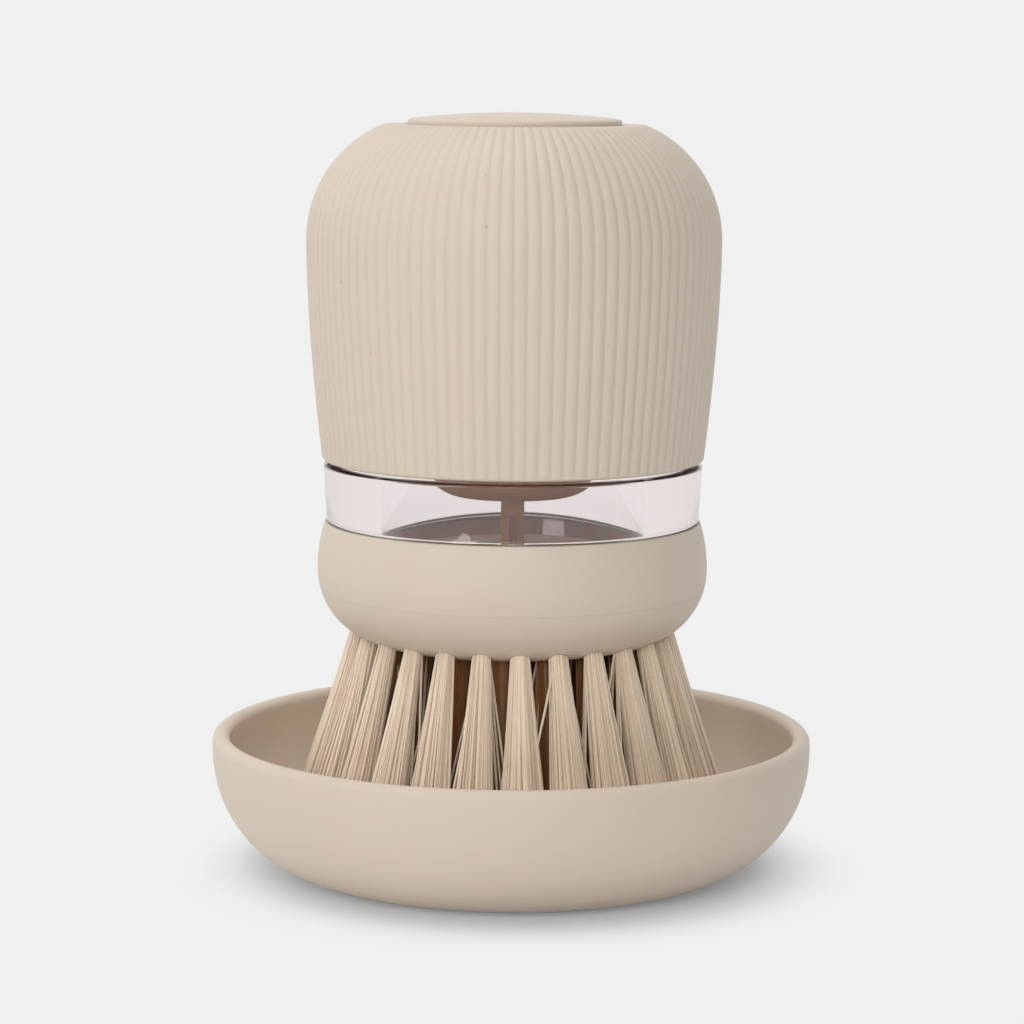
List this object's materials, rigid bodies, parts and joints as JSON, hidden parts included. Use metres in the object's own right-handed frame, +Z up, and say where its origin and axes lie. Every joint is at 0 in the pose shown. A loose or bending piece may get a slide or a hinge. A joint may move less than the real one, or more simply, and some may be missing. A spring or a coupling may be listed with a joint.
{
  "type": "soap dispensing dish brush",
  "caption": "Palm-held round dish brush with a ribbed grip, push button, clear soap reservoir band and flared bristles, standing in a shallow round storage dish.",
  "frame": {"origin": "centre of the storage dish's flat foot, on the surface it stands on", "axes": "+Z up along the common axis of the dish, brush and button; -Y towards the viewer"},
  "size_m": [0.09, 0.09, 0.1133],
  "materials": {
    "shell_plastic": "matte beige moulded plastic, fine satin grain",
    "bristle_fibre": "beige nylon filaments",
    "inner_plastic": "satin taupe moulded plastic",
    "clear_plastic": "clear polished plastic",
    "silicone": "soft matte brown silicone",
    "spring_steel": "drawn stainless spring wire"
  },
  "bodies": {
    "dish": {"storage_dish": "shell_plastic"},
    "brush_head": {"head_collar": "shell_plastic", "tuft_plate": "shell_plastic", "outer_bristles": "bristle_fibre", "middle_bristles": "bristle_fibre", "inner_bristles": "bristle_fibre", "outlet_tube": "inner_plastic", "outlet_o_ring": "silicone", "valve_seat": "silicone"},
    "neck_ring": {"neck_gasket": "silicone"},
    "handle": {"clear_reservoir": "clear_plastic", "grip_cover": "shell_plastic", "inner_housing": "inner_plastic", "lid_gasket": "silicone", "stem_seal": "silicone", "seal_cap": "inner_plastic", "button_retainer": "inner_plastic", "return_spring": "spring_steel"},
    "plunger": {"push_button": "shell_plastic", "plunger_stem": "inner_plastic", "spring_collar": "inner_plastic", "stem_clip": "spring_steel"}
  },
  "joints": [
    {"name": "brush_lift", "type": "slide", "parent": "dish", "child": "brush_head", "axis": [0, 0, 1], "range_m": [0, 0.06]},
    {"name": "handle_unscrew", "type": "hinge", "parent": "brush_head", "child": "neck_ring", "pos_m": [0, 0, 0.047], "axis": [0, 0, 1], "range_deg": [0, 360]},
    {"name": "handle_rise", "type": "slide", "parent": "neck_ring", "child": "handle", "axis": [0, 0, 1], "range_m": [0, 0.004]},
    {"name": "button_press", "type": "slide", "parent": "handle", "child": "plunger", "axis": [0, 0, -1], "range_m": [0, 0.003], "stiffness_N_per_m": 1200, "deforming": ["return_spring"]}
  ],
  "couplings": [
    {"joint": "handle_rise", "follows": "handle_unscrew", "m_per_rad": 0.0006366}
  ]
}
